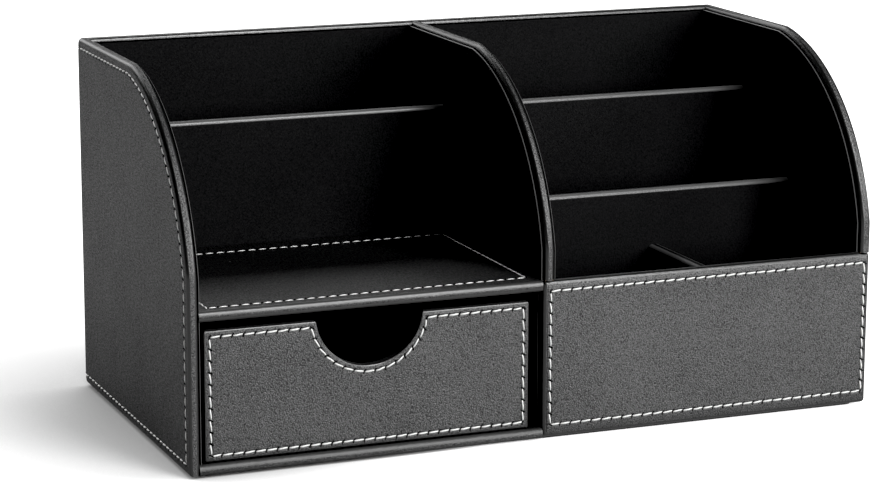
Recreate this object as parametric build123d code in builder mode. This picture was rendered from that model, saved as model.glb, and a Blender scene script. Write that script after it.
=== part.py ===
from build123d import *
from math import hypot, sqrt
import os

# A desk storage box of leather-covered boards with one drawer, in millimetres.
# The front faces -Y, +Z is up, and the origin is the middle of the underside.

# Outside of the case
width = 260.0
depth = 132.5
height = 132.0

# Sheet goods: every panel is a board with leather outside and a lining inside
leather = 0.8
lining = 0.7
panel_board = 3.0
turn_in = 2.0  # leather turned over an edge, up to where the lining starts
edge_roll = 1.4  # rounding of an outer leather edge
inner_roll = 0.6  # rounding of an edge beside a lining
near = 0.01  # an edge this close to a plane lies in it

# Curved front edge of the three uprights
front_edge_rise = 11.1  # straight stretch above the front panel
curve_depth = 65.2  # front face to the start of the flat top
curve_radius = 79.4
curve_blend = 20.0  # softens where the curve meets the straight edges

# Base
felt = 0.8
felt_inset = 3.0
felt_corner = 4.0
base_board_thickness = 2.8
base_fold = 10.0  # leather folded back over the base's front edge

# Left half: drawer bay below, shelf above
drawer_bay_width = 125.5
tier_height = 57.4  # top of the shelf and of the front panel
shelf_board_thickness = 2.4
shelf_setback = 0.8
shelf_roll = 1.8

# Dividers
divider_board = 2.4
rear_slot_depth = 32.0
middle_slot_depth = 34.0
rear_divider_drop = 26.6  # below the top of the case
front_divider_drop = 29.6  # below the top of the rear divider
cross_board = 3.0
cross_divider_drop = 2.9  # below the top of the front panel
left_cell_width = 62.1
divider_roll = 1.2

# Drawer
drawer_recess = 2.0
drawer_left_gap = 1.8
drawer_right_gap = 4.7
drawer_top_gap = 3.1
drawer_rear_gap = 3.0
drawer_running_gap = 0.3
notch_radius = 19.5
notch_rise = 2.4  # centre of the finger notch above the drawer front
drawer_board = 2.4
drawer_wrap_leather = 0.5
drawer_side_setback = 1.0
drawer_wall_drop = 3.3
drawer_felt = 1.0

# Faces of the case, worked out from the sizes above
left = -width / 2
right = width / 2
front = -depth / 2
back = depth / 2
wall = leather + panel_board + lining
inner_left = left + wall
inner_right = right - wall
inner_back = back - wall
panel_back = front + wall
base_top = felt + base_board_thickness + lining
middle_thickness = panel_board + 2 * lining
middle_left = inner_left + drawer_bay_width
middle_right = middle_left + middle_thickness

# Centre of the uprights' curve, from its two ends and its radius
curve_start = tier_height + front_edge_rise
curve_rise = height - curve_start
half_chord = hypot(curve_depth, curve_rise) / 2
chord_to_centre = sqrt(curve_radius**2 - half_chord**2)
curve_y = front + curve_depth / 2 + chord_to_centre * curve_rise / (2 * half_chord)
curve_z = curve_start + curve_rise / 2 - chord_to_centre * curve_depth / (2 * half_chord)

# Every finished piece, under its node's name
pieces = {}


def span(x_low, x_high, y_low, y_high):
    """Rectangle between two limits each way on the sketch."""
    with Locations(((x_low + x_high) / 2, (y_low + y_high) / 2)):
        Rectangle(x_high - x_low, y_high - y_low)


def upright_outline(inset, bottom, rear, notched):
    """Side view of an upright, drawn in from its front, curve and top by the inset.

    A notched upright stands back below the tier to leave room for the front panel.
    """
    edge = front + inset
    top = height - inset
    radius = curve_radius - inset
    curve_low = (edge, curve_z + sqrt(radius**2 - (curve_y - edge) ** 2))
    curve_high = (curve_y - sqrt(radius**2 - (top - curve_z) ** 2), top)
    foot = [(edge, bottom)]
    if notched:
        foot = [(panel_back, bottom), (panel_back, tier_height), (edge, tier_height)]
    with BuildLine() as outline:
        Polyline(curve_high, (rear, top), (rear, bottom), *foot, curve_low)
        RadiusArc(curve_low, curve_high, radius)
        ends = [outline.vertices().sort_by_distance(end)[0] for end in (curve_low, curve_high)]
        fillet(ends, curve_blend - inset)
    make_face(outline.edges())


def edges_at(piece, axis, place):
    """Edges that lie in the plane at a place along an axis."""
    return piece.edges().filter_by_position(axis, place - near, place + near)


def turned_over(edge):
    """True for a front, curved or top edge of an upright, which leather is turned over."""
    return edge.center().Z > base_top and edge.center().Y < inner_back - leather


def clear_of_front_panel(edge):
    """True for an edge that doesn't lie against the front panel."""
    return edge.center().Z > tier_height + leather or edge.center().Y > panel_back + leather


def take_out(*names):
    """Cuts finished pieces out of the cover that is being made, so that it wraps them."""
    for name in names:
        add(pieces[name].part, mode=Mode.SUBTRACT)


# Side panels: board and lining
sides = [
    ("left_side", left + leather, inner_left - lining, False),
    ("right_side", inner_right + lining, inner_right, True),
]
for name, board_start, lining_start, notched in sides:
    with BuildPart() as side_board:
        with BuildSketch(Plane.YZ.offset(board_start)):
            upright_outline(leather, felt + leather, back - leather, notched)
        extrude(amount=panel_board)
    pieces[f"{name}_board"] = side_board

    with BuildPart() as side_lining:
        with BuildSketch(Plane.YZ.offset(lining_start)):
            upright_outline(turn_in, felt, inner_back + lining, notched)
        extrude(amount=lining)
    pieces[f"{name}_lining"] = side_lining

# Back panel: board and lining
with BuildPart() as back_board:
    with BuildSketch(Plane.XZ.offset(-(back - leather))):
        span(inner_left - lining, inner_right + lining, felt + leather, height - leather)
    extrude(amount=panel_board)
pieces["back_board"] = back_board

with BuildPart() as back_lining:
    with BuildSketch(Plane.XZ.offset(-(inner_back + lining))):
        span(inner_left, inner_right, felt, height - turn_in)
    extrude(amount=lining)
pieces["back_lining"] = back_lining

# Outer cover: one sheet of leather round the left side, the back and the right side
with BuildPart() as outer_cover:
    with BuildSketch(Plane.YZ.offset(left)):
        upright_outline(0, felt, back, False)
    extrude(amount=wall)
    with BuildSketch(Plane.YZ.offset(inner_right)):
        upright_outline(0, felt, back, True)
    extrude(amount=wall)
    with BuildSketch(Plane.XZ.offset(-back)):
        span(inner_left, inner_right, felt, height)
    extrude(amount=wall)
    left_face = edges_at(outer_cover, Axis.X, left)
    right_face = edges_at(outer_cover, Axis.X, right)
    back_face = edges_at(outer_cover, Axis.Y, back).filter_by(Axis.X)
    left_inside = edges_at(outer_cover, Axis.X, inner_left)
    right_inside = edges_at(outer_cover, Axis.X, inner_right)
    back_inside = edges_at(outer_cover, Axis.Y, inner_back)
    rolled_edges = left_face + back_face + left_inside.filter_by(turned_over)
    rolled_edges += right_face.filter_by(clear_of_front_panel)
    rolled_edges += right_inside.filter_by(turned_over).filter_by(clear_of_front_panel)
    rolled_edges += back_inside.filter_by(Axis.X).sort_by(Axis.Z)[-1:]
    fillet(rolled_edges, edge_roll)
    take_out("left_side_board", "left_side_lining", "right_side_board", "right_side_lining")
    take_out("back_board", "back_lining")
pieces["outer_cover"] = outer_cover

# Middle upright: board, a lining on each face, and leather bound over its edge
middle_sheets = [
    ("middle_board", middle_left + lining, panel_board, leather),
    ("middle_left_lining", middle_left, lining, turn_in),
    ("middle_right_lining", middle_right - lining, lining, turn_in),
]
for name, start, thickness, inset in middle_sheets:
    with BuildPart() as middle_sheet:
        with BuildSketch(Plane.YZ.offset(start)):
            upright_outline(inset, base_top, inner_back, True)
        extrude(amount=thickness)
    pieces[name] = middle_sheet

with BuildPart() as middle_edge_binding:
    with BuildSketch(Plane.YZ.offset(middle_left)):
        upright_outline(0, base_top, inner_back, True)
    extrude(amount=middle_thickness)
    face_edges = edges_at(middle_edge_binding, Axis.X, middle_left)
    face_edges += edges_at(middle_edge_binding, Axis.X, middle_right)
    fillet(face_edges.filter_by(turned_over).filter_by(clear_of_front_panel), edge_roll)
    take_out("middle_board", "middle_left_lining", "middle_right_lining")
pieces["middle_edge_binding"] = middle_edge_binding

# Base: board, leather bound over the edge under the drawer, lining, and felt underneath
with BuildPart() as base_board:
    with BuildSketch(Plane.XY.offset(felt)):
        span(inner_left, inner_right, panel_back, inner_back)
        span(inner_left, middle_left, front + leather, panel_back)
    extrude(amount=base_board_thickness)
pieces["base_board"] = base_board

with BuildPart() as base_binding:
    with BuildSketch(Plane.XY.offset(felt)):
        span(inner_left, middle_left, front, front + base_fold)
    extrude(amount=base_top - felt)
    front_edges = edges_at(base_binding, Axis.Y, front).filter_by(Axis.X)
    fillet(front_edges.sort_by(Axis.Z)[-1], edge_roll)
    front_edges = edges_at(base_binding, Axis.Y, front).filter_by(Axis.X)
    fillet(front_edges.sort_by(Axis.Z)[0], inner_roll)
    take_out("base_board")
pieces["base_binding"] = base_binding

with BuildPart() as base_lining:
    with BuildSketch(Plane.XY.offset(base_top - lining)):
        span(inner_left, middle_left, front + base_fold, inner_back)
        span(middle_left, inner_right, panel_back, inner_back)
    extrude(amount=lining)
pieces["base_lining"] = base_lining

with BuildPart() as base_felt:
    with BuildSketch():
        RectangleRounded(width - 2 * felt_inset, depth - 2 * felt_inset, felt_corner)
    extrude(amount=felt)
pieces["base_felt"] = base_felt

# Front panel of the right half: board, lining, and a leather cover turned over all edges
with BuildPart() as front_panel_board:
    with BuildSketch(Plane.XZ.offset(-(front + leather))):
        span(middle_left + leather, right - leather, felt + leather, tier_height - leather)
    extrude(amount=-panel_board)
pieces["front_panel_board"] = front_panel_board

with BuildPart() as front_panel_lining:
    with BuildSketch(Plane.XZ.offset(-(panel_back - lining))):
        span(middle_left + turn_in, right - turn_in, felt + turn_in, tier_height - turn_in)
    extrude(amount=-lining)
pieces["front_panel_lining"] = front_panel_lining

with BuildPart() as front_panel_cover:
    with BuildSketch(Plane.XZ.offset(-front)):
        span(middle_left, right, felt, tier_height)
    extrude(amount=-wall)
    rolled_edges = edges_at(front_panel_cover, Axis.Y, front)
    back_edges = edges_at(front_panel_cover, Axis.Y, panel_back)
    rolled_edges += back_edges.sort_by(Axis.Z)[-1:]
    fillet(rolled_edges, edge_roll)
    take_out("front_panel_board", "front_panel_lining")
pieces["front_panel_cover"] = front_panel_cover

# Rear dividers stand on the base in one line, and the front divider stands before them
divider_thickness = divider_board + 2 * leather
rear_divider_front = inner_back - rear_slot_depth - divider_thickness
front_divider_front = rear_divider_front - middle_slot_depth - divider_thickness
rear_divider_top = height - rear_divider_drop
front_divider_top = rear_divider_top - front_divider_drop
dividers = [
    ("left_divider", inner_left, middle_left, rear_divider_front, rear_divider_top),
    ("right_rear_divider", middle_right, inner_right, rear_divider_front, rear_divider_top),
    ("right_front_divider", middle_right, inner_right, front_divider_front, front_divider_top),
]
for name, x_low, x_high, face, top in dividers:
    with BuildPart() as divider_core:
        with BuildSketch(Plane.XY.offset(base_top)):
            span(x_low, x_high, face + leather, face + leather + divider_board)
        extrude(amount=top - leather - base_top)
    pieces[f"{name}_board"] = divider_core

    with BuildPart() as divider_sleeve:
        with BuildSketch(Plane.XY.offset(base_top)):
            span(x_low, x_high, face, face + divider_thickness)
        extrude(amount=top - base_top)
        top_edges = divider_sleeve.edges().group_by(Axis.Z)[-1]
        fillet(top_edges.filter_by(Axis.X), divider_roll)
        take_out(f"{name}_board")
    pieces[f"{name}_cover"] = divider_sleeve

# Cross divider between the front panel and the front divider
cross_thickness = cross_board + 2 * leather
cross_left = middle_right + left_cell_width
cross_top = tier_height - cross_divider_drop
with BuildPart() as cross_divider_board:
    with BuildSketch(Plane.XY.offset(base_top)):
        span(cross_left + leather, cross_left + leather + cross_board, panel_back, front_divider_front)
    extrude(amount=cross_top - leather - base_top)
pieces["cross_divider_board"] = cross_divider_board

with BuildPart() as cross_divider_cover:
    with BuildSketch(Plane.XY.offset(base_top)):
        span(cross_left, cross_left + cross_thickness, panel_back, front_divider_front)
    extrude(amount=cross_top - base_top)
    top_edges = cross_divider_cover.edges().group_by(Axis.Z)[-1]
    fillet(top_edges.filter_by(Axis.Y), divider_roll)
    take_out("cross_divider_board")
pieces["cross_divider_cover"] = cross_divider_cover

# Shelf over the drawer: board, and leather round its top, front edge and underside
shelf_thickness = shelf_board_thickness + 2 * leather
shelf_bottom = tier_height - shelf_thickness
shelf_front = front + shelf_setback
with BuildPart() as shelf_board:
    with BuildSketch(Plane.XY.offset(shelf_bottom + leather)):
        span(inner_left, middle_left, shelf_front + leather, rear_divider_front)
    extrude(amount=shelf_board_thickness)
pieces["shelf_board"] = shelf_board

with BuildPart() as shelf_cover:
    with BuildSketch(Plane.XY.offset(shelf_bottom)):
        span(inner_left, middle_left, shelf_front, rear_divider_front)
    extrude(amount=shelf_thickness)
    front_edges = edges_at(shelf_cover, Axis.Y, shelf_front)
    fillet(front_edges.filter_by(Axis.X), shelf_roll)
    take_out("shelf_board")
pieces["shelf_cover"] = shelf_cover

# Drawer: it fills the bay but for its clearances
drawer_left = inner_left + drawer_left_gap
drawer_right = middle_left - drawer_right_gap
drawer_bottom = base_top + drawer_running_gap
drawer_top = shelf_bottom - drawer_top_gap
drawer_front = front + drawer_recess
drawer_rear = rear_divider_front - drawer_rear_gap
box_front = drawer_front + wall
notch_x = (drawer_left + drawer_right) / 2


def drawer_front_outline(inset):
    """Front view of the drawer front, drawn in by the inset round its edge and notch."""
    span(drawer_left + inset, drawer_right - inset, drawer_bottom + inset, drawer_top - inset)
    with Locations((notch_x, drawer_top + notch_rise)):
        Circle(notch_radius + inset, mode=Mode.SUBTRACT)


# Drawer front: board, lining, and a leather cover turned over all edges and the notch
with BuildPart() as drawer_front_board:
    with BuildSketch(Plane.XZ.offset(-(drawer_front + leather))):
        drawer_front_outline(leather)
    extrude(amount=-panel_board)
pieces["drawer_front_board"] = drawer_front_board

with BuildPart() as drawer_front_lining:
    with BuildSketch(Plane.XZ.offset(-(box_front - lining))):
        drawer_front_outline(turn_in)
    extrude(amount=-lining)
pieces["drawer_front_lining"] = drawer_front_lining

with BuildPart() as drawer_front_cover:
    with BuildSketch(Plane.XZ.offset(-drawer_front)):
        drawer_front_outline(0)
    extrude(amount=-wall)
    face_edges = edges_at(drawer_front_cover, Axis.Y, drawer_front)
    fillet(face_edges, edge_roll)
    face_edges = edges_at(drawer_front_cover, Axis.Y, box_front)
    fillet(face_edges, inner_roll)
    take_out("drawer_front_board", "drawer_front_lining")
pieces["drawer_front_cover"] = drawer_front_cover

# Drawer box: the boards stand on the floor, inside one leather wrap
box_left = drawer_left + drawer_side_setback
box_right = drawer_right - drawer_side_setback
box_top = drawer_top - drawer_wall_drop
core_left = box_left + drawer_wrap_leather
core_right = box_right - drawer_wrap_leather
core_rear = drawer_rear - drawer_wrap_leather
floor_top = drawer_bottom + drawer_board
inside_left = core_left + drawer_board + lining
inside_right = core_right - drawer_board - lining
inside_rear = core_rear - drawer_board - lining

with BuildPart() as drawer_floor:
    with BuildSketch(Plane.XY.offset(drawer_bottom)):
        span(core_left, core_right, box_front, core_rear)
    extrude(amount=drawer_board)
pieces["drawer_floor"] = drawer_floor

# Sheets that stand on the drawer floor: name, left, right, front, rear and top
wall_top = box_top - drawer_wrap_leather
sheet_top = box_top - turn_in
back_wall_front = core_rear - drawer_board
drawer_sheets = [
    ("drawer_left_wall", core_left, core_left + drawer_board, box_front, core_rear, wall_top),
    ("drawer_right_wall", core_right - drawer_board, core_right, box_front, core_rear, wall_top),
    (
        "drawer_back_wall",
        core_left + drawer_board,
        core_right - drawer_board,
        back_wall_front,
        core_rear,
        wall_top,
    ),
    ("drawer_left_lining", inside_left - lining, inside_left, box_front, back_wall_front, sheet_top),
    ("drawer_right_lining", inside_right, inside_right + lining, box_front, back_wall_front, sheet_top),
    ("drawer_back_lining", inside_left, inside_right, inside_rear, back_wall_front, sheet_top),
]
for name, x_low, x_high, y_low, y_high, top in drawer_sheets:
    with BuildPart() as drawer_sheet:
        with BuildSketch(Plane.XY.offset(floor_top)):
            span(x_low, x_high, y_low, y_high)
        extrude(amount=top - floor_top)
    pieces[name] = drawer_sheet

with BuildPart() as drawer_wrap:
    with BuildSketch(Plane.XY.offset(drawer_bottom)):
        span(box_left, box_right, box_front, drawer_rear)
    extrude(amount=box_top - drawer_bottom)
    upright_edges = edges_at(drawer_wrap, Axis.Y, drawer_rear)
    fillet(upright_edges.filter_by(Axis.Z), inner_roll)
    with BuildSketch(Plane.XY.offset(drawer_bottom)):
        span(inside_left, inside_right, box_front, inside_rear)
    extrude(amount=box_top - drawer_bottom, mode=Mode.SUBTRACT)
    take_out("drawer_floor", *[sheet[0] for sheet in drawer_sheets])
pieces["drawer_wrap"] = drawer_wrap

with BuildPart() as drawer_floor_felt:
    with BuildSketch(Plane.XY.offset(floor_top)):
        span(inside_left, inside_right, box_front, inside_rear)
    extrude(amount=drawer_felt)
pieces["drawer_floor_felt"] = drawer_floor_felt

os.makedirs("parts", exist_ok=True)
for name, piece in pieces.items():
    piece.part.label = name
    export_step(piece.part, f"parts/{name}.step")
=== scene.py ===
# %% [markdown]
# # A desk storage box in black stitched leather
#
# The real box is thin board wrapped in embossed leather. One long sheet goes round the left side,
# the back and the right side. Other sheets wrap a middle upright, a front panel, a shelf, four
# dividers and a drawer. White thread runs in a pressed channel, a few millimetres in from the edges.
#
# CAD already holds every board, lining and joint in its place. This lesson loads that model and makes
# what gives the box its look: soft rolled leather, stitching, finishes and a small studio.

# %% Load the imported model
import math
import random

import bmesh
import bpy
from mathutils import Matrix, Vector


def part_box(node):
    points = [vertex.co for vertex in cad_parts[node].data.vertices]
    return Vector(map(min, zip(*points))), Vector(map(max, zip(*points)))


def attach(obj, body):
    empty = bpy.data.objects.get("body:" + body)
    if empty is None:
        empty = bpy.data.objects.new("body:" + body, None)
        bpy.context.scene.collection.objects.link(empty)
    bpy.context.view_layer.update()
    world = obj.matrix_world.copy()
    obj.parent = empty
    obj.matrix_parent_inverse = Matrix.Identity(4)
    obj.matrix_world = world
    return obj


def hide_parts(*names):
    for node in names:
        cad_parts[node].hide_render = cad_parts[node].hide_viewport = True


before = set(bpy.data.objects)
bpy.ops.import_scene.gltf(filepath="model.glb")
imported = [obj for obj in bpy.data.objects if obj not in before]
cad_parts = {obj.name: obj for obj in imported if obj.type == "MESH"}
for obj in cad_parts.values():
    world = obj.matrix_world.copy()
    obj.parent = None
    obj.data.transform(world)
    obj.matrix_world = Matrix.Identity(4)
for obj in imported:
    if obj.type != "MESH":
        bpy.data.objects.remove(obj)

scene = bpy.context.scene
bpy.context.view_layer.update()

# %% [markdown]
# ## Camera
#
# The photograph was taken with a long lens from the front left, a little above the box. The place and
# the turn below come from matching the box's corners in the picture. A camera looks down its own -Z
# axis, so it is tipped up by a right angle less the downward tilt, then turned towards the box. The
# turns are in radians, and the lens and its sensor in millimetres.

# %% Camera
camera_place = Vector((-0.40665, -0.97659, 0.28860))
turn_to_right = 0.3825
tilt_down = 0.2152
roll = 0.0022
sensor_width = 36
focal_length = 120.92

lens = bpy.data.cameras.new("camera")
lens.sensor_width = sensor_width
lens.lens = focal_length
camera = bpy.data.objects.new("camera", lens)
turn = Matrix.Rotation(-turn_to_right, 4, "Z")
tilt = Matrix.Rotation(math.pi / 2 - tilt_down, 4, "X")
camera.matrix_world = Matrix.Translation(camera_place) @ turn @ tilt @ Matrix.Rotation(roll, 4, "Z")
scene.collection.objects.link(camera)
scene.camera = camera
print("camera", tuple(camera_place), "lens", lens.lens)

# %% [markdown]
# ## Studio
#
# Black leather shows its shape almost only by what it reflects, so the studio is a set of soft lamps
# round the box on a white floor. The surroundings are white too, but only to the camera, so that they
# add no light to the leather. A small black level keeps the deepest blacks as dark as in the
# photograph.


# %% Picture tone and surroundings
def add_shader_node(tree, kind, sockets=None, **settings):
    """Adds a shader node. A socket takes a plain value, or another node's output to link to."""
    node = tree.nodes.new(kind)
    for name, value in settings.items():
        setattr(node, name, value)
    for name, value in (sockets or {}).items():
        if isinstance(value, bpy.types.NodeSocket):
            tree.links.new(value, node.inputs[name])
        else:
            node.inputs[name].default_value = value
    return node


def grey(level):
    """A grey as the four numbers of a colour."""
    return (level, level, level, 1)


black_level = 0.008
surround_strength = 1.05

scene.view_settings.view_transform = "Standard"
scene.view_settings.use_curve_mapping = True
scene.view_settings.curve_mapping.black_level = grey(black_level)[:3]
scene.view_settings.curve_mapping.update()

surround = bpy.data.worlds.new("studio")
surround.use_nodes = True
tree = surround.node_tree
tree.nodes.clear()
rays = add_shader_node(tree, "ShaderNodeLightPath")
white = add_shader_node(
    tree, "ShaderNodeBackground", {"Color": grey(1), "Strength": surround_strength}
)
camera_only = add_shader_node(
    tree, "ShaderNodeMixShader", {"Fac": rays.outputs["Is Camera Ray"], 2: white.outputs[0]}
)
add_shader_node(tree, "ShaderNodeOutputWorld", {"Surface": camera_only.outputs[0]})
scene.world = surround
print("surroundings", surround.name, "with a strength of", surround_strength)

# %% [markdown]
# ## Floor
#
# The floor lies just under the box. It glows though it is no lamp, so that it looks as pale as in the
# photograph. Its shadow is painted: the glow fades into painted shade where the box stands near and into a
# painted shadow on its left, and stays bright in front of the box. An ambient occlusion node knows how
# near the box is, and the distance from the middle of the shadow does the rest. Reflections in the leather
# see only a share of this painted glow.

# %% Floor
mm = 0.001
floor_half_width = 5.0
floor_drop = 0.2 * mm

bm = bmesh.new()
bmesh.ops.create_grid(bm, x_segments=1, y_segments=1, size=floor_half_width)
bmesh.ops.translate(bm, vec=(0, 0, -floor_drop), verts=bm.verts)
floor_mesh = bpy.data.meshes.new("floor")
bm.to_mesh(floor_mesh)
bm.free()
floor = bpy.data.objects.new("floor", floor_mesh)
scene.collection.objects.link(floor)
print("floor", floor.name, "reaches", floor_half_width, "m each way")


# %% Floor paint
def new_finish(name):
    """A node material with its shader, and the object coordinates that its patterns follow."""
    finish = bpy.data.materials.new(name)
    finish.use_nodes = True
    tree = finish.node_tree
    shader = tree.nodes["Principled BSDF"]
    where = add_shader_node(tree, "ShaderNodeTexCoord").outputs["Object"]
    return finish, tree, shader, where


def calculate(tree, operation, *values):
    """The result of a math node on plain numbers or other nodes' outputs."""
    return add_shader_node(tree, "ShaderNodeMath", dict(enumerate(values)), operation=operation).outputs[0]


def remap(tree, value, before, after, **settings):
    """Maps a value from one range to another, each range given by its two ends."""
    sockets = {"Value": value, "From Min": before[0], "From Max": before[1]}
    sockets.update({"To Min": after[0], "To Max": after[1]})
    return add_shader_node(tree, "ShaderNodeMapRange", sockets, **settings).outputs[0]


def mix(tree, share, first, second):
    """Goes from a first number to a second as a share goes from 0 to 1."""
    return add_shader_node(tree, "ShaderNodeMix", {"Factor": share, 2: first, 3: second}).outputs[0]


def mix_colours(tree, share, first, second):
    """Goes from a first colour to a second as a share goes from 0 to 1."""
    sockets = {"Factor": share, 6: first, 7: second}
    return add_shader_node(tree, "ShaderNodeMix", sockets, data_type="RGBA").outputs[2]


bounce_grey = 0.25
seen_grey = 0.35
shadow_middle = (-0.17, 0.07, 0.0)
contact_reach = 0.10
contact_distances = (0.13, 0.20)
contact_powers = (2.6, 0.2)
pool_distances = (0.05, 0.18)
pool_glows = (0.95, 1.50)
mirrored_share = 0.26

floor_paint, tree, shader, where = new_finish("floor_paint")
rays = add_shader_node(tree, "ShaderNodeLightPath")
seen = rays.outputs["Is Camera Ray"]
paleness = mix_colours(tree, seen, grey(bounce_grey), grey(seen_grey))
off_shadow = add_shader_node(
    tree, "ShaderNodeVectorMath", {0: where, 1: shadow_middle}, operation="DISTANCE"
).outputs["Value"]
# Painted shade and painted shadow: the glow is dimmed near the box by ambient occlusion, and in a patch
# round shadow_middle.
contact_shade = add_shader_node(tree, "ShaderNodeAmbientOcclusion", {"Distance": contact_reach}).outputs["AO"]
power = remap(tree, off_shadow, contact_distances, contact_powers)
painted_shadow = remap(tree, off_shadow, pool_distances, pool_glows, interpolation_type="SMOOTHSTEP")
glow = calculate(tree, "MULTIPLY", calculate(tree, "POWER", contact_shade, power), painted_shadow)
share = calculate(tree, "MULTIPLY_ADD", rays.outputs["Is Glossy Ray"], mirrored_share, seen)
tree.links.new(paleness, shader.inputs["Base Color"])
tree.links.new(calculate(tree, "MULTIPLY", glow, share), shader.inputs["Emission Strength"])
shader.inputs["Emission Color"].default_value = grey(1)
shader.inputs["Roughness"].default_value = 0.9
shader.inputs["Specular IOR Level"].default_value = 0.1
floor_mesh.materials.append(floor_paint)
print("floor paint", floor_paint.name, "with", len(tree.nodes), "nodes")

# %% [markdown]
# ## Lamps
#
# Three lamps in front and on the right light the stitched fronts and reach into the compartments. One
# on the left picks out the thread there, without a reflection of its own in the leather, and two
# behind give the left side its sheen and the shelf a bright front.


# %% Lamps
def soft_lamp(name, place, aim_height, size, watts):
    """Adds a rectangular lamp at a place, turned to a height above the middle of the floor."""
    lamp = bpy.data.lights.new(name, "AREA")
    lamp.shape = "RECTANGLE"
    lamp.size, lamp.size_y = size
    lamp.energy = watts
    holder = bpy.data.objects.new(name, lamp)
    aim = Vector((0, 0, aim_height)) - Vector(place)
    turned = aim.to_track_quat("-Z", "Y").to_matrix().to_4x4()
    holder.matrix_world = Matrix.Translation(place) @ turned
    scene.collection.objects.link(holder)
    return holder


soft_lamp("key_lamp", (0.351, -0.963, 1.075), aim_height=0.05, size=(0.5, 0.5), watts=17.0)
soft_lamp("low_front_lamp", (0.485, -1.333, 0.351), aim_height=0.05, size=(0.5, 0.5), watts=14.2)
soft_lamp("right_lamp", (1.180, -0.681, 0.546), aim_height=0.05, size=(0.5, 0.5), watts=7.0)
thread_lamp = soft_lamp("left_lamp", (-1.20, 0.40, 0.75), aim_height=0.05, size=(0.9, 0.9), watts=13.0)
thread_lamp.visible_glossy = False
soft_lamp("rear_left_lamp", (-0.35, 1.45, 0.50), aim_height=0.06, size=(0.6, 0.6), watts=2.2)
soft_lamp("rear_lamp", (0.0, 1.3, 1.1), aim_height=0.1, size=(1.6, 0.6), watts=8.0)

# %% [markdown]
# ## Leather
#
# The covers are black leather with a fine pebbled grain, about half a millimetre from one pebble to
# the next. A Voronoi texture is a natural start: each cell is a pebble, and the distance from its
# middle gives the height. A little noise bends the cells so that no two are alike. Object coordinates
# are in metres, so a scale of 2000 makes cells of half a millimetre. The hide is also mottled in short
# streaks from front to back, so a second noise follows coordinates that are squeezed along y.
#
# Where leather is pulled over an edge the grain is stretched flat and shines, and fine wrinkles take its
# place. Each piece says where that is by an attribute, rolled_share. Its grey there is painted light: a
# painted highlight on the linings, dividers, shelf and strip, and painted shade on the covers.


# %% Grain, wear and wrinkles
def noise(tree, where, scale, **sockets):
    """A noise texture of a scale, with any other socket by its name."""
    return add_shader_node(tree, "ShaderNodeTexNoise", {"Vector": where, "Scale": scale, **sockets})


def pebble_height(tree, where, pebble):
    """The height of a pebbled grain: bent Voronoi cells of a size in metres, with finer noise on top."""
    wander_scale = 0.9 / pebble
    fine_scale = 2.5 / pebble
    fine_share = 0.5
    wander = noise(tree, where, wander_scale, Detail=1.0)
    bent = add_shader_node(
        tree,
        "ShaderNodeVectorMath",
        {0: wander.outputs["Color"], 1: (pebble, pebble, pebble), 2: where},
        operation="MULTIPLY_ADD",
    )
    pebbles = add_shader_node(
        tree, "ShaderNodeTexVoronoi", {"Vector": bent.outputs[0], "Scale": 1 / pebble}
    )
    fine = noise(tree, where, fine_scale, Detail=2.0)
    return calculate(tree, "MULTIPLY_ADD", fine.outputs["Fac"], fine_share, pebbles.outputs["Distance"])


def grain_depth(tree, where, pebble, height):
    """How deep in the grain a point seems, from 0 on its tops to 1 in its creases."""
    squeeze = (1.0, 0.25, 1.0)
    mottle_share = 2.0
    handled_scale = 45.0
    handled_share = 0.4
    height_range = (0.85, 3.05)
    squeezed = add_shader_node(tree, "ShaderNodeVectorMath", {0: where, 1: squeeze}, operation="MULTIPLY")
    mottle = noise(tree, squeezed.outputs[0], 1 / pebble, Detail=1.0)
    handled = noise(tree, where, handled_scale, Detail=4.0)
    mottled = calculate(tree, "MULTIPLY_ADD", mottle.outputs["Fac"], mottle_share, height)
    worn = calculate(tree, "MULTIPLY_ADD", handled.outputs["Fac"], handled_share, mottled)
    return remap(tree, worn, height_range, (0.0, 1.0))


def grain_normal(tree, where, height, rolled, relief, wrinkle):
    """The bumps of leather: its grain where it is flat, and wrinkles where it is rolled."""
    rolled_grain_share = 0.15
    fold_scale = 700.0
    flattened = remap(tree, rolled, (0.0, 1.0), (1.0, rolled_grain_share))
    grain = add_shader_node(
        tree,
        "ShaderNodeBump",
        {"Height": height, "Strength": flattened, "Distance": relief},
        invert=True,
    )
    folds = noise(tree, where, fold_scale, Detail=3.0, Distortion=0.6).outputs["Fac"]
    wrinkles = add_shader_node(
        tree,
        "ShaderNodeBump",
        {"Height": folds, "Strength": rolled, "Distance": wrinkle, "Normal": grain.outputs[0]},
    )
    return wrinkles.outputs[0]


def colour_ramp(tree, value, low, high):
    """Colours a value between two stops, each given as its position and its colour."""
    ramp = add_shader_node(tree, "ShaderNodeValToRGB", {"Fac": value})
    for stop, (position, colour) in zip(ramp.color_ramp.elements, (low, high)):
        stop.position = position
        stop.color = colour
    return ramp.outputs["Color"]


cover_pebble = 0.50 * mm
print("a scale of", round(1 / cover_pebble), "for cells of", cover_pebble / mm, "mm")


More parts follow.
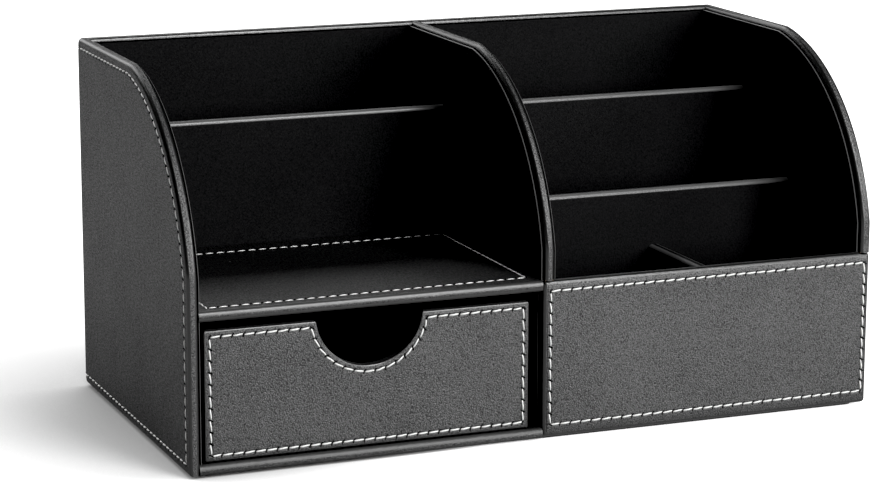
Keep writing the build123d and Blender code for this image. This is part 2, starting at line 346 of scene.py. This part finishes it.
# %% Leather finishes
def leather_finish(name, tops, creases, pebble, relief, roughness, shine, rolled_over):
    """Pebbled leather: greys of the grain's tops and creases, pebble size and relief in metres.

    The tops of flat leather have a shine that its creases lack. Leather rolled over an edge has a
    roughness, a shine and a depth of wrinkles of its own, and a grey of its own that is painted light:
    lighter than the flat leather for a painted highlight, darker for painted shade.
    """
    blue_cast = 1.03
    roughness_spread = 0.15
    finish, tree, shader, where = new_finish(name)
    rolled = add_shader_node(tree, "ShaderNodeAttribute", attribute_name="rolled_share").outputs["Fac"]
    height = pebble_height(tree, where, pebble)
    depth = grain_depth(tree, where, pebble, height)
    top_stop = (0.2, (tops, tops, tops * blue_cast, 1))
    crease_stop = (0.8, (creases, creases, creases * blue_cast, 1))
    tone = colour_ramp(tree, depth, top_stop, crease_stop)
    dull = remap(tree, depth, (0.0, 1.0), (roughness - roughness_spread, roughness + roughness_spread))
    glint = remap(tree, depth, (0.0, 1.0), (shine * 2, 0.0))
    normal = grain_normal(tree, where, height, rolled, relief, rolled_over["wrinkle"])
    for socket, result in (
        ("Base Color", mix_colours(tree, rolled, tone, grey(rolled_over["grey"]))),
        ("Roughness", mix(tree, rolled, dull, rolled_over["roughness"])),
        ("Specular IOR Level", mix(tree, rolled, glint, rolled_over["shine"])),
        ("Normal", normal),
    ):
        tree.links.new(result, shader.inputs[socket])
    shader.inputs["Specular IOR Level"].default_value = shine
    return finish


cover_leather = leather_finish(
    "cover_leather",
    tops=0.022,
    creases=0.001,
    pebble=cover_pebble,
    relief=0.15 * mm,
    roughness=0.50,
    shine=0.90,
    # The rolled edges of the covers take a darker grey than the flat leather: painted shade.
    rolled_over={"grey": 0.006, "roughness": 0.30, "shine": 0.78, "wrinkle": 0.06 * mm},
)
inside_leather = leather_finish(
    "inside_leather",
    tops=0.0091,
    creases=0.0071,
    pebble=0.60 * mm,
    relief=0.04 * mm,
    roughness=0.75,
    shine=0.06,
    # The rolled edges of the linings and dividers take a grey ten times lighter: a painted highlight on
    # their lips and tops.
    rolled_over={"grey": 0.080, "roughness": 0.28, "shine": 0.40, "wrinkle": 0.02 * mm},
)
# Painted shade: the shelf and the base strip are the same leather as the covers, given darker greys so
# that they look shaded.
shaded_leather_copy = {
    "tops": 0.0055,
    "creases": 0.0025,
    "pebble": cover_pebble,
    "relief": 0.10 * mm,
    "roughness": 0.50,
    "shine": 0.60,
}
# The rolled fronts of the shelf and the base strip take a lighter grey than their flat leather: a painted
# highlight.
shelf_roll_over = {"grey": 0.030, "roughness": 0.36, "shine": 0.70, "wrinkle": 0.06 * mm}
strip_roll_over = {"grey": 0.020, "roughness": 0.45, "shine": 0.60, "wrinkle": 0.15 * mm}
shelf_leather = leather_finish("shelf_leather", **shaded_leather_copy, rolled_over=shelf_roll_over)
strip_leather = leather_finish("strip_leather", **shaded_leather_copy, rolled_over=strip_roll_over)
print("leather", cover_leather.name, inside_leather.name, shelf_leather.name, strip_leather.name)

# %% [markdown]
# ## Felt, board and thread
#
# Felt pads stand under the base and line the drawer. The boards are brown pressed fibre, seen only where
# nothing covers them. The thread is thick white polyester, twisted from a few strands. Its own UV map runs
# round and along each stitch, so slanting stripes in UV space become the twist. The slits that a needle
# leaves, and the seams beside the linings, are painted shade: a near-black matte finish where shade falls
# in the holes and gaps.

# %% Felt and board finishes
felt_pile, tree, shader, where = new_finish("felt_pile")
fibres = noise(tree, where, 2500.0, Detail=6.0, Roughness=0.7).outputs["Fac"]
felt_tone = colour_ramp(tree, fibres, (0.35, grey(0.004)), (0.70, (0.020, 0.020, 0.021, 1)))
pile = add_shader_node(tree, "ShaderNodeBump", {"Height": fibres, "Strength": 0.8, "Distance": 0.3 * mm})
tree.links.new(felt_tone, shader.inputs["Base Color"])
tree.links.new(pile.outputs[0], shader.inputs["Normal"])
shader.inputs["Roughness"].default_value = 0.95
shader.inputs["Specular IOR Level"].default_value = 0.1
shader.inputs["Sheen Weight"].default_value = 0.1

pressed_board, tree, shader, where = new_finish("pressed_board")
chips = noise(tree, where, 900.0, Detail=5.0, Roughness=0.6).outputs["Fac"]
board_tone = colour_ramp(tree, chips, (0.35, (0.16, 0.11, 0.07, 1)), (0.65, (0.34, 0.25, 0.17, 1)))
tree.links.new(board_tone, shader.inputs["Base Color"])
shader.inputs["Roughness"].default_value = 0.8
print("finishes", felt_pile.name, pressed_board.name)

# %% Thread and slit finishes
twist_angle = math.radians(35)
strand_count = 3

white_thread, tree, shader, where = new_finish("white_thread")
thread_map = add_shader_node(tree, "ShaderNodeUVMap", uv_map="along_thread")
slanted = add_shader_node(
    tree,
    "ShaderNodeMapping",
    {
        "Vector": thread_map.outputs[0],
        "Rotation": (0, 0, twist_angle),
        "Scale": (strand_count, strand_count, 1),
    },
)
strands = add_shader_node(
    tree, "ShaderNodeTexWave", {"Vector": slanted.outputs[0], "Scale": 1.0, "Distortion": 0.4}
).outputs["Fac"]
thread_tone = colour_ramp(tree, strands, (0.0, (0.56, 0.56, 0.55, 1)), (0.6, (0.92, 0.92, 0.91, 1)))
twist = add_shader_node(tree, "ShaderNodeBump", {"Height": strands, "Strength": 0.5, "Distance": 0.1 * mm})
tree.links.new(thread_tone, shader.inputs["Base Color"])
tree.links.new(twist.outputs[0], shader.inputs["Normal"])
shader.inputs["Roughness"].default_value = 0.55

# slit_shade is painted shade: a near-black matte finish for the needle slits and the seams beside the
# linings.
slit_shade, tree, shader, where = new_finish("slit_shade")
torn = noise(tree, where, 4000.0).outputs["Fac"]
slit_tone = colour_ramp(tree, torn, (0.0, grey(0.001)), (1.0, grey(0.006)))
tree.links.new(slit_tone, shader.inputs["Base Color"])
shader.inputs["Roughness"].default_value = 1.0
shader.inputs["Specular IOR Level"].default_value = 0.0
print("finishes", white_thread.name, slit_shade.name)

# %% [markdown]
# ## Finishes on the CAD nodes
#
# Each CAD node comes in with the name of its material slot. The linings, boards, felts and small
# bindings have the right shape already, so they keep it and only get their finish.

# %% Finishes on the CAD nodes
finish_of_slot = {
    "leather": cover_leather,
    "lining": inside_leather,
    "felt": felt_pile,
    "board": pressed_board,
}
for name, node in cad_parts.items():
    for place in node.material_slots:
        place.material = finish_of_slot[place.material.name]
        if "divider" in name and place.material == cover_leather:
            place.material = inside_leather
print("finished", len(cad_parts), "CAD nodes")

# %% [markdown]
# ## Sizes
#
# Every new piece takes its place from the frame. What the frame can't tell is how soft the leather
# is: the roll of an edge, how far it is turned in, and how thick it is. Nor does it give the arc in the
# front edge of the uprights, which is found again from its two ends and its radius.

# %% Sizes
cover_low, cover_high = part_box("outer_cover")
panel_low, panel_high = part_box("front_panel_cover")
left, front, bottom = cover_low
right, back, top = cover_high
tier = panel_high.z
panel_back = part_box("front_panel_lining")[1].y

turn_in = 2.0 * mm
lining_proud = 0.45 * mm
roll_radius = 1.45 * mm
leather_thickness = 0.8 * mm

curve_radius = 79.4 * mm
curve_rise = 11.1 * mm
curve_depth = 65.2 * mm
curve_foot = Vector((0, front, tier + curve_rise))
curve_head = Vector((0, front + curve_depth, top))
chord = curve_head - curve_foot
to_centre = Vector((0, chord.z, -chord.y)).normalized()
curve_centre = (curve_foot + curve_head) / 2
curve_centre += to_centre * math.sqrt(curve_radius**2 - (chord.length / 2) ** 2)
print("curve centre", tuple(round(c, 5) for c in curve_centre))

# %% [markdown]
# ## The outer cover
#
# One sheet covers the left side, the back and the right side. It could be three separate slabs, but
# then the back corners would show seams that the real box doesn't have. So the sheet starts as three
# flat faces that share their corner edges, drawn as the box is seen from the side. Solidify gives it
# the depth of the rim, bevel rolls every edge, and the faces inside are opened where the linings lie.


# %% Flat faces of the outer cover
def draw_upright(bm, x, rear, foot, notched, inset=0.0):
    """Draws the side view of an upright at one x, and gives its face and its two rear corners.

    An inset draws its front, curve and top further in.
    """
    curve_steps = 32
    edge = front + inset
    head = top - inset
    radius = curve_radius - inset
    low = Vector((x, edge, curve_centre.z + math.sqrt(radius**2 - (curve_centre.y - edge) ** 2)))
    high = Vector((x, curve_centre.y - math.sqrt(radius**2 - (head - curve_centre.z) ** 2), head))
    centre = Vector((x, curve_centre.y, curve_centre.z))
    count = len(bm.verts)
    start = bm.verts.new(low)
    angle = (low - centre).angle(high - centre)
    bmesh.ops.spin(bm, geom=[start], cent=centre, axis=(-1, 0, 0), angle=angle, steps=curve_steps)
    bm.verts.ensure_lookup_table()
    bow = bm.verts[count:]
    low_end = [(edge, foot)]
    if notched:
        low_end = [(panel_back, foot), (panel_back, tier), (edge, tier)]
    rear_corners = [bm.verts.new((x, rear, head)), bm.verts.new((x, rear, foot))]
    front_corners = [bm.verts.new((x, y, z)) for y, z in low_end]
    face = bm.faces.new([*bow, *rear_corners, *front_corners])
    return face, rear_corners


def face_towards(face, direction):
    """Turns a face over if it looks away from a direction."""
    face.normal_update()
    if face.normal.dot(Vector(direction)) < 0:
        face.normal_flip()


swell = 0.12 * mm

cover = bmesh.new()
left_face, left_rear = draw_upright(cover, left + swell, back - swell, bottom, False)
right_face, right_rear = draw_upright(cover, right - swell, back - swell, bottom, True)
back_face = cover.faces.new([*left_rear, *reversed(right_rear)])
face_towards(left_face, (-1, 0, 0))
face_towards(right_face, (1, 0, 0))
face_towards(back_face, (0, 1, 0))
print("outer cover", len(cover.faces), "flat faces on", len(cover.verts), "points")

# %% Rolled sheet of the outer cover
sharp_angle = math.radians(40)
close = 0.1 * mm
side_area = 0.005


def sharp_edges(bm):
    """All the edges of a bmesh where two faces meet at a sharp outward angle."""
    bm.normal_update()
    outward = [e for e in bm.edges if e.is_manifold and e.is_convex]
    return [e for e in outward if e.calc_face_angle() > sharp_angle]


def against_front_panel(edge):
    """True for an upright's edge that lies on top of or behind the front panel."""
    return all(v.co.y < panel_back + close and v.co.z < tier + close for v in edge.verts)


def rolled_layer(bm):
    """The layer of a bmesh that marks its rolled faces."""
    return bm.faces.layers.int.get("rolled") or bm.faces.layers.int.new("rolled")


def roll_edges(bm, radius, edges, segments=5):
    """Rounds some edges, as leather pulled over a board is round, and marks the new faces."""
    rolled = rolled_layer(bm)
    made = bmesh.ops.bevel(
        bm,
        geom=edges,
        offset=radius,
        offset_type="OFFSET",
        segments=segments,
        profile=0.5,
        affect="EDGES",
        clamp_overlap=True,
        material=-1,
    )
    for face in made["faces"]:
        face[rolled] = 1


def open_for_lining(bm, faces):
    """Turns a border in round some faces and takes away the rest, where a lining will lie. The border
    takes the second finish, painted shade for the seam beside the lining.
    """
    turned = bmesh.ops.inset_region(
        bm, faces=faces, thickness=turn_in, use_boundary=True, use_even_offset=True
    )
    for face in turned["faces"]:
        face.material_index = 1
    bmesh.ops.delete(bm, geom=faces, context="FACES")


outside = [left_face, back_face, right_face]
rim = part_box("left_side_lining")[1].x - lining_proud - left - swell
bmesh.ops.solidify(cover, geom=outside, thickness=rim)
inside = [f for f in cover.faces if f.calc_area() > side_area and f not in outside]
open_for_lining(cover, inside)
roll_edges(cover, roll_radius, [e for e in sharp_edges(cover) if not against_front_panel(e)])
print("outer cover", len(cover.faces), "faces with its edges rolled")

# %% [markdown]
# ## The sewing channel
#
# The thread pulls the leather down into a shallow channel. Insetting the outside again and again
# walks in from the edge, and each step may also go up or down, so a list of steps is the cross-section
# of the channel. The loop of vertices at its lowest line is where the thread lies, so it is kept.

# %% Walk in and press the channel
channel_down = [(0.20, -0.07), (0.25, -0.25), (0.20, -0.18)]
channel_up = [(0.20, 0.18), (0.25, 0.25), (0.20, 0.07)]


def walk_in(bm, faces, steps):
    """Insets a region step by step, each so far inward and so far up, in millimetres."""
    for inward, up in steps:
        bmesh.ops.inset_region(
            bm,
            faces=faces,
            thickness=inward * mm,
            depth=up * mm,
            use_boundary=True,
            use_even_offset=True,
        )


def border(faces):
    """The points round a region in order, each with the direction that the region faces there."""
    region = set(faces)
    rim_edges = {e for f in faces for e in f.edges if sum(g in region for g in e.link_faces) == 1}
    edge = next(iter(rim_edges))
    start, vert = edge.verts
    path = [start]
    while vert is not start:
        path.append(vert)
        edge = next(e for e in vert.link_edges if e in rim_edges and e is not edge)
        vert = edge.other_vert(vert)
    loop = []
    for vert in path:
        outward = sum((f.normal for f in vert.link_faces if f in region), Vector())
        loop.append((vert.co.copy(), outward.normalized()))
    return loop


def press_channel(bm, faces, margin_steps, field_steps):
    """Walks in to the channel, presses it, and gives the loop of points along its bottom."""
    walk_in(bm, faces, margin_steps)
    walk_in(bm, faces, channel_down)
    bm.normal_update()
    loop = border(faces)
    walk_in(bm, faces, channel_up)
    walk_in(bm, faces, field_steps)
    return loop


def reach_up(face):
    """How far a face reaches up and down."""
    heights = [v.co.z for v in face.verts]
    return max(heights) - min(heights)


tall = 100 * mm
cover_margin = [(0.25, 0.04), (0.35, 0.04), (0.40, 0.03), (0.40, 0.01)]
cover_field = [(0.5, 0.05), (0.8, 0.0)]
outside = [f for f in cover.faces if f.calc_area() > side_area or reach_up(f) > tall]
cover_loop = press_channel(cover, outside, cover_margin, cover_field)
print("outer cover", len(outside), "outside faces,", len(cover_loop), "points along its channel")


# %% Finish a leather piece
def inside_roll(vert, rolled):
    """True for a vertex within a roll, and not where the roll runs out into flat leather."""
    smooth = [e for e in vert.link_edges if e.is_manifold and e.calc_face_angle() < sharp_angle]
    even = all(e.link_faces[0][rolled] == e.link_faces[1][rolled] for e in smooth)
    return even and any(f[rolled] for f in vert.link_faces)


def new_piece(bm, name, body, slot, *finishes):
    """Makes a bmesh a smooth piece that rides on a body, with the finishes given. The slot is not used."""
    mesh = bpy.data.meshes.new(name)
    bm.to_mesh(mesh)
    bm.free()
    mesh.shade_smooth()
    for finish in finishes:
        mesh.materials.append(finish)
    piece = bpy.data.objects.new(name, mesh)
    scene.collection.objects.link(piece)
    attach(piece, body)
    return piece


def leather_piece(bm, name, body, *nodes, thickness=0.0, finish=cover_leather, slot="leather"):
    """Makes a bmesh a leather piece that stands for CAD nodes, and marks where it is rolled."""
    rolled = rolled_layer(bm)
    # Rolled faces go back to the first finish; the rest of the turned-in border keeps the near-black
    # slit_shade, painted shade for the seam.
    for face in bm.faces:
        face.material_index *= 1 - face[rolled]
    share = bm.verts.layers.float.new("rolled_share")
    for vert in bm.verts:
        vert[share] = float(inside_roll(vert, rolled))
    piece = new_piece(bm, name, body, slot, finish, slit_shade)
    piece.data.set_sharp_from_angle(angle=sharp_angle)
    if thickness:
        sheet = piece.modifiers.new("leather_thickness", "SOLIDIFY")
        sheet.thickness = thickness
        sheet.offset = -1
    level = piece.modifiers.new("level_faces", "WEIGHTED_NORMAL")
    level.keep_sharp = True
    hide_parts(*nodes)
    print(name, len(piece.data.polygons), "faces")


leather_piece(cover, "stitched_outer_cover", "case", "outer_cover", thickness=leather_thickness)

# %% [markdown]
# ## The binding on the middle upright
#
# A strip of leather is folded over the front edge of the middle upright, and a lining on each side
# ends just behind it. It starts as the same side view, drawn a little too long at the back and at the
# foot. Both sides are opened, the edge is rolled, and bisect cuts the ends off where it meets the back
# and the base.

# %% Middle binding
binding_low, binding_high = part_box("middle_edge_binding")
binding_thickness = 0.6 * mm
spare = 2 * turn_in
rear_end = binding_high.y + spare
foot_end = binding_low.z - spare
binding_x = binding_low.x + lining_proud
binding_width = binding_high.x - binding_low.x - 2 * lining_proud

binding = bmesh.new()
side_face = draw_upright(binding, binding_x, rear_end, foot_end, True)[0]
face_towards(side_face, (-1, 0, 0))
bmesh.ops.solidify(binding, geom=[side_face], thickness=binding_width)
open_for_lining(binding, [f for f in binding.faces if f.calc_area() > side_area])
roll_edges(binding, roll_radius, [e for e in sharp_edges(binding) if not against_front_panel(e)])
for cut_at, away in (((0, binding_high.y, 0), (0, 1, 0)), ((0, 0, binding_low.z), (0, 0, -1))):
    bmesh.ops.bisect_plane(
        binding,
        geom=[*binding.verts, *binding.edges, *binding.faces],
        plane_co=cut_at,
        plane_no=away,
        clear_outer=True,
    )
leather_piece(
    binding, "rolled_middle_binding", "case", "middle_edge_binding", thickness=binding_thickness
)

# %% [markdown]
# ## Front panel
#
# The front panel is a board with leather pulled round its four edges, sewn a little way in. The rows
# aren't at the same distance on every side: the real one has more leather below the bottom row. So
# the face is first drawn in by a different margin on each side, in a few small steps that rise into
# a soft swelling.


# %% Block of the front panel
def new_block(low, high):
    """A bmesh of a plain block between two corners."""
    bm = bmesh.new()
    place = Matrix.Translation((low + high) / 2) @ Matrix.Diagonal((*(high - low), 1))
    bmesh.ops.create_cube(bm, size=1, matrix=place)
    return bm


def facing(bm, direction):
    """The largest face that looks in a direction."""
    in_line = 0.99
    bm.normal_update()
    looking = [f for f in bm.faces if f.normal.dot(Vector(direction)) > in_line]
    return max(looking, key=lambda f: f.calc_area())


def hidden_behind(edge):
    """True for an edge at the panel's back that lies against an upright or the base."""
    at_back = all(v.co.y > panel_back - mm for v in edge.verts)
    return at_back and not all(v.co.z > tier - close for v in edge.verts)


panel_rises = [0.18, 0.12, 0.08, 0.04]
panel_front_low = panel_low + Vector((0, sum(panel_rises) * mm, 0))
flush_back = Vector((panel_high.x, panel_back - lining_proud, panel_high.z))
panel = new_block(panel_front_low, flush_back)
open_for_lining(panel, [facing(panel, (0, 1, 0))])
roll_edges(panel, roll_radius, [e for e in sharp_edges(panel) if not hidden_behind(e)])
print("front panel", len(panel.faces), "faces with its edges rolled")


# %% Margins of the front panel
def draw_in(bm, face, across, low_margins, high_margins, up=0.0):
    """Insets a four-cornered face by its own margin on each side, in millimetres, and raises it."""
    first_inset = 0.1 * mm
    low = [min(v.co[axis] for v in face.verts) for axis in across]
    high = [max(v.co[axis] for v in face.verts) for axis in across]
    bmesh.ops.inset_region(bm, faces=[face], thickness=first_inset, use_even_offset=True)
    for vert in face.verts:
        for axis, lowest, highest, low_by, high_by in zip(across, low, high, low_margins, high_margins):
            is_low = vert.co[axis] < (lowest + highest) / 2
            vert.co[axis] = lowest + low_by * mm if is_low else highest - high_by * mm
    bmesh.ops.translate(bm, vec=face.normal * up * mm, verts=face.verts)


def swell_in(bm, face, across, low_margins, high_margins, rises):
    """Draws a face in by equal parts of its margins, rising step by step into a soft swelling."""
    low_part = [margin / len(rises) for margin in low_margins]
    high_part = [margin / len(rises) for margin in high_margins]
    for up in rises:
        draw_in(bm, face, across, low_part, high_part, up)


panel_low_margins = (0.5, 2.55)
panel_high_margins = (0.25, 1.45)
short_margin = [(0.05, 0.0)]
soft_field = [(0.5, 0.04), (0.8, 0.0)]
panel_front = facing(panel, (0, -1, 0))
swell_in(panel, panel_front, (0, 2), panel_low_margins, panel_high_margins, panel_rises)
panel_loop = press_channel(panel, [panel_front], short_margin, soft_field)
leather_piece(panel, "stitched_front_panel", "case", "front_panel_cover", thickness=leather_thickness)

# %% [markdown]
# ## Drawer front
#
# The drawer front is the same kind of panel with a round finger notch in its top edge. The notch is a
# spun arc in the outline, so the roll and the stitching follow it by themselves. Its first and last
# steps are longer, so that the insets don't crowd where it meets the top edge.

# %% Outline of the drawer front
drawer_low, drawer_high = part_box("drawer_front_cover")
drawer_margin = [(0.30, 0.10), (0.35, 0.06), (0.30, 0.02)]
drawer_y = drawer_low.y + sum(up for inward, up in drawer_margin) * mm
notch_radius = 19.5 * mm
notch_rise = 2.4 * mm
notch_end_step = 4.6 * mm
notch_steps = 28
notch_middle = (drawer_low.x + drawer_high.x) / 2
notch_reach = math.sqrt(notch_radius**2 - notch_rise**2)
notch_turn = 2 * math.acos(notch_rise / notch_radius)
end_turn = notch_end_step / notch_radius

drawer_panel = bmesh.new()
notch_end = drawer_panel.verts.new((notch_middle + notch_reach, drawer_y, drawer_high.z))
for part_turn, steps in ((end_turn, 1), (notch_turn - 2 * end_turn, notch_steps), (end_turn, 1)):
    spun = bmesh.ops.spin(
        drawer_panel,
        geom=[notch_end],
        cent=(notch_middle, drawer_y, drawer_high.z + notch_rise),
        axis=(0, 1, 0),
        angle=part_turn,
        steps=steps,
    )
    notch_end = next(g for g in spun["geom_last"] if isinstance(g, bmesh.types.BMVert))
drawer_panel.verts.ensure_lookup_table()
outline = drawer_panel.verts[:]
for x, z in (
    (drawer_low.x, drawer_high.z),
    (drawer_low.x, drawer_low.z),
    (drawer_high.x, drawer_low.z),
    (drawer_high.x, drawer_high.z),
):
    outline.append(drawer_panel.verts.new((x, drawer_y, z)))
drawer_face = drawer_panel.faces.new(outline)
face_towards(drawer_face, (0, -1, 0))
print("drawer front", len(outline), "points in its outline")

# %% Sheet of the drawer front
drawer_roll = 0.6 * mm
drawer_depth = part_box("drawer_front_lining")[1].y - lining_proud - drawer_y
bmesh.ops.solidify(drawer_panel, geom=[drawer_face], thickness=drawer_depth)
open_for_lining(drawer_panel, [facing(drawer_panel, (0, 1, 0))])
roll_edges(drawer_panel, drawer_roll, sharp_edges(drawer_panel))
drawer_face = facing(drawer_panel, (0, -1, 0))
drawer_loop = press_channel(drawer_panel, [drawer_face], drawer_margin, soft_field)
leather_piece(
    drawer_panel, "stitched_drawer_front", "drawer", "drawer_front_cover", thickness=leather_thickness
)

# %% [markdown]
# ## Shelf
#
# The shelf is wrapped all round, with a soft roll at its front. Its rows were sewn by eye: the front
# row runs a little askew. Behind the last row the leather swells up against the divider.


# %% Shelf
def level_edges(bm, axis, place, along=0):
    """The edges that lie at a place on one axis and run along another, which is x if none is given."""
    exact = 0.01 * mm
    return [
        e
        for e in bm.edges
        if all(abs(v.co[axis] - place) < exact for v in e.verts)
        and abs(e.verts[0].co[along] - e.verts[1].co[along]) > mm
    ]


shelf_low, shelf_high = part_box("shelf_cover")
shelf_roll = 1.8 * mm
shelf_low_margins = (3.5, 2.4)
shelf_high_margins = (2.6, 4.9)
row_askew = 3.0 * mm
rear_swell = 1.3 * mm

shelf = new_block(shelf_low, shelf_high)
roll_edges(shelf, shelf_roll, level_edges(shelf, 1, shelf_low.y))
shelf_face = facing(shelf, (0, 0, 1))
draw_in(shelf, shelf_face, (0, 1), shelf_low_margins, shelf_high_margins)
right_front = max(shelf_face.verts, key=lambda v: v.co.x - v.co.y)
right_front.co.y += row_askew
shelf_loop = press_channel(shelf, [shelf_face], short_margin, soft_field)
rear_edge = [v for v in shelf.verts if v.co.y > shelf_high.y - close and v.co.z > shelf_high.z - close]
bmesh.ops.translate(shelf, vec=(0, 0, rear_swell), verts=rear_edge)
leather_piece(shelf, "stitched_shelf", "case", "shelf_cover", finish=shelf_leather)

# %% [markdown]
# ## Base strip
#
# Under the drawer the leather is folded over the front edge of the base, and shows as a round strip.
# It reaches a little further left than the board does, to meet the upright there.

# %% Base strip
strip_low, strip_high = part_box("base_binding")
strip_reach = 0.6 * mm
strip_top_roll = 2.0 * mm
strip_foot_roll = 0.8 * mm

strip = new_block(strip_low - Vector((strip_reach, 0, 0)), strip_high)
top_edge = max(level_edges(strip, 1, strip_low.y), key=lambda e: e.verts[0].co.z)
roll_edges(strip, strip_top_roll, [top_edge])
foot_edge = min(level_edges(strip, 1, strip_low.y), key=lambda e: e.verts[0].co.z)
roll_edges(strip, strip_foot_roll, [foot_edge])
leather_piece(strip, "rolled_base_strip", "case", "base_binding", finish=strip_leather)

# %% [markdown]
# ## Linings and dividers
#
# Inside, smooth dark leatherette covers the boards. It is padded a little, so it stands proud of the
# turned-in leather. The seam between the two is painted shade: the turned-in border and the lining's own
# edge faces take a near-black finish. Its soft edge catches the light as a thin line beside each roll,
# helped by a painted highlight, a lighter grey on its rolled leather. So the linings of the uprights are
# drawn again from the same side view, a little further in, with their edges just broken. The dividers are
# blocks with a round top, which shows as a bright line, also helped by that painted highlight.

# %% Linings of the uprights
lining_inset = 1.6 * mm
lining_plump = 0.5 * mm
lining_roll = 0.35 * mm

for name, towards, notched in (
    ("left_side", 1, False),
    ("right_side", -1, True),
    ("middle_left", -1, True),
    ("middle_right", 1, True),
):
    low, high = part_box(f"{name}_lining")
    sheet = bmesh.new()
    shown_x = (high.x if towards > 0 else low.x) + towards * lining_plump
    sheet_face = draw_upright(sheet, shown_x, high.y, low.z, notched, lining_inset)[0]
    face_towards(sheet_face, (towards, 0, 0))
    bmesh.ops.solidify(sheet, geom=[sheet_face], thickness=high.x - low.x + lining_plump)
    sheet.normal_update()
    # The lining's edge faces take the near-black slit_shade: painted shade in the seam beside each roll.
    for face in sheet.faces:
        shaded_edge = abs(face.normal.x) < 0.5
        face.material_index = int(shaded_edge)
    roll_edges(sheet, lining_roll, sharp_edges(sheet), segments=3)
    leather_piece(
        sheet, f"{name}_lining_sheet", "case", f"{name}_lining", finish=inside_leather, slot="lining"
    )

# %% Dividers
divider_roll = 1.7 * mm

for name in ("left_divider", "right_rear_divider", "right_front_divider", "cross_divider"):
    low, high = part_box(f"{name}_cover")
    divider = new_block(low, high)
    along = 1 if name == "cross_divider" else 0
    roll_edges(divider, divider_roll, level_edges(divider, 2, high.z, along), segments=6)
    leather_piece(
        divider, f"rolled_{name}", "case", f"{name}_cover", finish=inside_leather, slot="leather"
    )

# %% [markdown]
# ## Stitching
#
# Each stitch is a short thick length of thread that comes out of one needle hole and goes into the next.
# One stitch is a small sphere, stretched along the seam and bent so that both ends dip into the channel. A
# row starts and ends at the corners of the seam, where the needle always goes in, and the stitches between
# are spread evenly. Between two stitches lies a dark slit, painted shade for the hole that the needle
# leaves.


# %% Rows of a seam
def rows_between_corners(loop):
    """Splits a closed seam into rows at its sharp corners."""
    corner_angle = math.radians(35)
    count = len(loop)
    corners = []
    for i in range(count):
        before = loop[i][0] - loop[i - 1][0]
        after = loop[(i + 1) % count][0] - loop[i][0]
        if before.angle(after) > corner_angle:
            corners.append(i)
    rows = []
    for start, end in zip(corners, [*corners[1:], corners[0] + count]):
        rows.append([loop[i % count] for i in range(start, end + 1)])
    return rows


def on_row(row, distance):
    """The point, direction and facing of a row at a distance along it."""
    for (here, facing_here), (there, facing_there) in zip(row, row[1:]):
        step = there - here
        if distance <= step.length:
            share = distance / step.length
            return here.lerp(there, share), step.normalized(), facing_here.lerp(facing_there, share)
        distance -= step.length
    return row[-1][0], (row[-1][0] - row[-2][0]).normalized(), row[-1][1]


seams = {
    "outer_cover": ("case", cover_loop),
    "front_panel": ("case", panel_loop),
    "shelf": ("case", shelf_loop),
    "drawer_front": ("drawer", drawer_loop),
}
for name, (body, loop) in seams.items():
    print(name, len(rows_between_corners(loop)), "rows")


# %% Patterns of a stitch and a slit
def bent_bead(name, size, dip, bend):
    """A pattern mesh: a ball stretched along x and filled out, with both ends bent down by a dip.

    A bend of 2 is a round bow. A bend below 1 is a V, like the channel's own shape.
    """
    bm = bmesh.new()
    bm.loops.layers.uv.new("along_thread")
    lay_down = Matrix.Rotation(math.pi / 2, 4, "Y")
    stretch = Matrix.Diagonal((*size, 1))
    bmesh.ops.create_uvsphere(
        bm, u_segments=8, v_segments=6, radius=0.5, matrix=stretch @ lay_down, calc_uvs=True
    )
    for vert in bm.verts:
        along = min(0.999, abs(2 * vert.co.x / size[0]))
        fuller = (1 - along**4) ** 0.25 / math.sqrt(1 - along**2)
        vert.co.y *= fuller
        vert.co.z = vert.co.z * fuller - dip * along**bend
    pattern = bpy.data.meshes.new(name)
    bm.to_mesh(pattern)
    bm.free()
    return pattern


stitch_size = (3.70 * mm, 0.60 * mm, 0.58 * mm)
slit_size = (2.00 * mm, 0.60 * mm, 0.16 * mm)
stitch_pattern = bent_bead("stitch_pattern", stitch_size, dip=0.32 * mm, bend=2)
slit_pattern = bent_bead("slit_pattern", slit_size, dip=-0.52 * mm, bend=0.6)
print("patterns of", len(stitch_pattern.polygons), "and", len(slit_pattern.polygons), "faces")

# %% Sew the seams
stitch_pitch = 4.0 * mm
stitch_slant = math.radians(6)
stitch_lift = 0.38 * mm
slit_slant = math.radians(65)
slit_lift = 0.07 * mm
slant_spread = 0.04
stretch_spread = 0.04
hand = random.Random(11)


def lay_bead(bm, pattern, spot, turned, stretch, lift):
    """Adds a copy of a pattern on a seam, turned from its row, stretched and lifted."""
    point, along, facing_out = spot
    out = (facing_out - along * facing_out.dot(along)).normalized()
    place = Matrix((along, out.cross(along), out)).transposed().to_4x4()
    place.translation = point + out * lift
    copy = pattern.copy()
    copy.transform(place @ Matrix.Rotation(turned, 4, "Z") @ Matrix.Diagonal((stretch, 1, 1, 1)))
    bm.from_mesh(copy)
    bpy.data.meshes.remove(copy)


def sew(name, body, loop):
    """Sews a whole seam: white stitches, and between them dark slits, painted shade for the holes that the
    needle leaves.
    """
    thread = bmesh.new()
    slits = bmesh.new()
    total = 0
    for row in rows_between_corners(loop):
        length = sum((b[0] - a[0]).length for a, b in zip(row, row[1:]))
        count = max(1, round(length / stitch_pitch))
        pitch = length / count
        for i in range(count):
            middle = on_row(row, (i + 0.5) * pitch)
            own_slant = stitch_slant + hand.uniform(-slant_spread, slant_spread)
            own_stretch = pitch / stitch_pitch * hand.uniform(1 - stretch_spread, 1 + stretch_spread)
            lay_bead(thread, stitch_pattern, middle, own_slant, own_stretch, stitch_lift)
            lay_bead(slits, slit_pattern, on_row(row, i * pitch), slit_slant, 1, slit_lift)
        total += count
    new_piece(thread, f"{name}_thread", body, "leather", white_thread)
    new_piece(slits, f"{name}_needle_slit_shade", body, "leather", slit_shade)
    print(name, total, "stitches")


for name, (body, loop) in seams.items():
    sew(name, body, loop)
